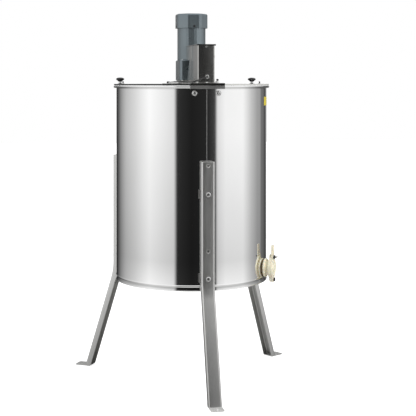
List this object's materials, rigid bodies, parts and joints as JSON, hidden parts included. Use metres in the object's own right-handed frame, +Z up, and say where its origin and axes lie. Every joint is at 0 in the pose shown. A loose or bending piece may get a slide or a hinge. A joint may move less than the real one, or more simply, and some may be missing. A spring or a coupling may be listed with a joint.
{
  "type": "honey extractor",
  "caption": "Motor-driven honey extractor: polished drum on splayed channel legs, bridge with gear motor and control box, spinning frame basket, hinged half-moon lids and honey gate.",
  "frame": {"origin": "centre of the flat underside pad of the drum's floor, on the drum's axis", "axes": "+Z up along the drum's axis, the bridge and its control box towards -Y, lids to -X and +X"},
  "size_m": [0.74, 0.702, 1.202],
  "materials": {
    "mirror_steel": "mirror-polished stainless sheet",
    "brushed_steel": "satin stainless",
    "bolt_steel": "bright stainless",
    "motor_paint": "satin blue-grey paint",
    "gear_steel": "machined steel",
    "winding": "varnished copper winding",
    "black_plastic": "fine texture",
    "cord_rubber": "matt",
    "gate_plastic": "moulded ivory nylon",
    "lid_plastic": "clear acrylic",
    "circuit_board": "solder-masked board"
  },
  "bodies": {
    "stand": {"bridge": "mirror_steel", "bridge_bolt_front_left": "bolt_steel", "bridge_bolt_front_right": "bolt_steel", "bridge_bolt_rear_left": "bolt_steel", "bridge_bolt_rear_right": "bolt_steel", "control_box": "brushed_steel", "control_box_cover": "brushed_steel", "cord_gland": "black_plastic", "drum_floor": "brushed_steel", "drum_shell": "mirror_steel", "gate_body": "gate_plastic", "gate_gasket": "cord_rubber", "gate_inner_nut": "gate_plastic", "gate_pivot_screw": "bolt_steel", "gearbox_housing": "motor_paint", "left_hinge_fixed": "bolt_steel", "leg_bolt_front_lower": "bolt_steel", "leg_bolt_front_upper": "bolt_steel", "leg_bolt_left_lower": "bolt_steel", "leg_bolt_left_upper": "bolt_steel", "leg_bolt_right_lower": "bolt_steel", "leg_bolt_right_upper": "bolt_steel", "leg_bracket_front": "brushed_steel", "leg_bracket_left": "brushed_steel", "leg_bracket_right": "brushed_steel", "leg_front": "brushed_steel", "leg_left": "brushed_steel", "leg_right": "brushed_steel", "lower_bearing_cup": "gear_steel", "motor_cap": "motor_paint", "motor_housing": "motor_paint", "motor_plate": "brushed_steel", "power_cord": "cord_rubber", "power_plug": "black_plastic", "right_hinge_fixed": "bolt_steel", "speed_control_board": "circuit_board", "stator": "winding", "upper_bearing": "gear_steel", "wiring_hood": "brushed_steel"},
    "basket": {"basket_shaft": "bolt_steel", "basket_base": "brushed_steel", "basket_crown": "brushed_steel", "frame_cage_front": "brushed_steel", "frame_cage_left": "brushed_steel", "frame_cage_rear": "brushed_steel", "frame_cage_right": "brushed_steel", "output_gear": "gear_steel"},
    "lay_gear": {"lay_shaft": "gear_steel"},
    "rotor": {"rotor": "gear_steel", "cooling_fan": "black_plastic"},
    "lid_left": {"lid_left": "lid_plastic", "lid_left_knob": "black_plastic", "left_hinge_moving": "bolt_steel"},
    "lid_right": {"lid_right": "lid_plastic", "lid_right_knob": "black_plastic", "right_hinge_moving": "bolt_steel"},
    "gate_flap": {"gate_flap": "gate_plastic"},
    "gate_wing_nut": {"gate_wing_nut": "black_plastic"},
    "speed_knob": {"speed_knob": "black_plastic"},
    "switch_rocker": {"switch_rocker": "black_plastic"}
  },
  "joints": [
    {"name": "basket_spin", "type": "hinge", "parent": "stand", "child": "basket", "pos_m": [0, 0, 0.28], "axis": [0, 0, 1], "continuous": true},
    {"name": "lay_spin", "type": "hinge", "parent": "stand", "child": "lay_gear", "pos_m": [0, 0.024, 0.64], "axis": [0, 0, 1], "continuous": true},
    {"name": "rotor_spin", "type": "hinge", "parent": "stand", "child": "rotor", "pos_m": [0, 0, 0.74], "axis": [0, 0, 1], "continuous": true},
    {"name": "lid_left_hinge", "type": "hinge", "parent": "stand", "child": "lid_left", "pos_m": [-0.0595, 0, 0.6205], "axis": [0, 1, 0], "range_deg": [0, 90]},
    {"name": "lid_right_hinge", "type": "hinge", "parent": "stand", "child": "lid_right", "pos_m": [0.0595, 0, 0.6205], "axis": [0, -1, 0], "range_deg": [0, 90]},
    {"name": "gate_flap_pivot", "type": "hinge", "parent": "stand", "child": "gate_flap", "pos_m": [0.24041, -0.1388, -0.019], "axis": [0.866, -0.5, 0], "range_deg": [0, 80]},
    {"name": "gate_wing_nut_turn", "type": "hinge", "parent": "stand", "child": "gate_wing_nut", "pos_m": [0.24041, -0.1388, 0.054], "axis": [0.866, -0.5, 0], "continuous": true},
    {"name": "speed_knob_turn", "type": "hinge", "parent": "stand", "child": "speed_knob", "pos_m": [0.027, -0.165, 0.704], "axis": [1, 0, 0], "range_deg": [0, 270]},
    {"name": "switch_rock", "type": "hinge", "parent": "stand", "child": "switch_rocker", "pos_m": [0.027, -0.211, 0.703], "axis": [0, 1, 0], "range_deg": [-10, 10]}
  ],
  "couplings": [
    {"joint": "lay_spin", "follows": "basket_spin", "ratio": -3},
    {"joint": "rotor_spin", "follows": "basket_spin", "ratio": 9}
  ]
}
